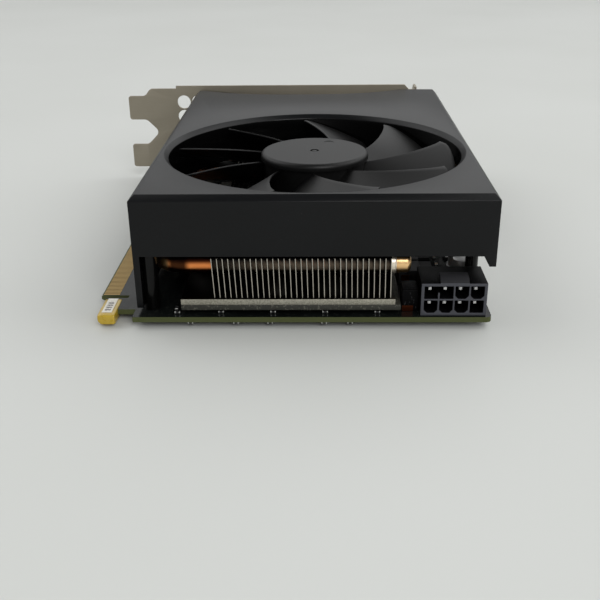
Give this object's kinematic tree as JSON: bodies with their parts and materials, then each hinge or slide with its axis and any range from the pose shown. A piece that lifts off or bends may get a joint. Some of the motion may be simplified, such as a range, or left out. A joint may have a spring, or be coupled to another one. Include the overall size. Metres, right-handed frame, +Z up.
{
  "type": "graphics card",
  "caption": "Two-slot graphics card with a flat shroud, one axial fan over a finned heat-pipe cooler, a slot bracket, an edge connector and a power socket at the tail.",
  "frame": {"origin": "on the table, under the middle of the card's outline, where the cooler's screw heads rest", "axes": "+X from the edge fingers to the card's top edge, +Y from the tail to the slot bracket, +Z up, to the fan side"},
  "size_m": [0.1278, 0.1588, 0.039],
  "materials": {
    "solder_mask": "black solder mask over glass fibre",
    "gold": "gold plating",
    "yellow_tape": "glossy film tape",
    "paper": "white paper label",
    "bracket_steel": "nickel-plated sheet steel",
    "screw_steel": "plated steel",
    "spring_steel": "spring steel",
    "port_shell": "nickel-plated shell",
    "port_plastic": "black moulded plastic",
    "header_plastic": "black moulded nylon",
    "tinned_pins": "tin-plated brass",
    "shroud_plastic": "dark grey plastic with a fine grain",
    "fan_plastic": "black moulded plastic",
    "bronze": "sintered bronze",
    "motor_board_mask": "green solder mask",
    "core_steel": "laminated steel",
    "winding": "enamelled copper wire",
    "yoke_steel": "drawn steel",
    "magnet": "bonded ferrite",
    "white_nylon": "white nylon",
    "fin_aluminium": "bare aluminium sheet",
    "dark_plate": "black anodised aluminium",
    "copper": "bare copper",
    "silicon": "polished silicon",
    "paste": "grey heat paste",
    "chip_plastic": "moulded chip plastic",
    "pad_rubber": "soft thermal pad",
    "choke_ferrite": "pressed iron powder",
    "can_aluminium": "bright aluminium can",
    "ceramic": "brown ceramic with tinned ends"
  },
  "bodies": {
    "card": {"circuit_board": "solder_mask", "edge_contacts": "gold", "hook_tape": "yellow_tape", "hook_label": "paper", "slot_bracket": "bracket_steel", "bracket_screws": "screw_steel", "fan_screws": "screw_steel", "shroud_screws": "screw_steel", "cooler_screws": "screw_steel", "leaf_spring": "spring_steel", "narrow_port_shell": "port_shell", "wide_port_shells": "port_shell", "narrow_port_tongue": "port_plastic", "wide_port_tongues": "port_plastic", "power_header": "header_plastic", "power_pins": "tinned_pins", "fan_header_pins": "tinned_pins", "shroud": "shroud_plastic", "fan_base": "fan_plastic", "fan_bearing": "bronze", "motor_board": "motor_board_mask", "gpu_carrier": "motor_board_mask", "stator_core": "core_steel", "stator_coils": "winding", "fan_header": "white_nylon", "heatsink_fins": "fin_aluminium", "heatsink_base": "fin_aluminium", "memory_plate": "dark_plate", "cold_plate": "copper", "outer_heat_pipe": "copper", "inner_heat_pipe": "copper", "rear_heat_pipe": "copper", "gpu_die": "silicon", "heat_paste": "paste", "memory_chips": "chip_plastic", "power_stages": "chip_plastic", "controller_chip": "chip_plastic", "bios_chip": "chip_plastic", "thermal_pads": "pad_rubber", "input_choke": "choke_ferrite", "power_chokes": "choke_ferrite", "memory_chokes": "choke_ferrite", "capacitor_cans": "can_aluminium", "clock_crystal": "can_aluminium", "tail_capacitors": "ceramic", "solder_side_capacitors": "ceramic"},
    "fan": {"fan_rotor": "fan_plastic", "rotor_yoke": "yoke_steel", "rotor_magnet": "magnet", "fan_shaft": "yoke_steel", "shaft_clip": "white_nylon"}
  },
  "joints": [
    {"name": "fan_spin", "type": "hinge", "parent": "card", "child": "fan", "pos_m": [0.0145, -0.02707, 0.03057], "axis": [0, 0, 1], "continuous": true}
  ]
}
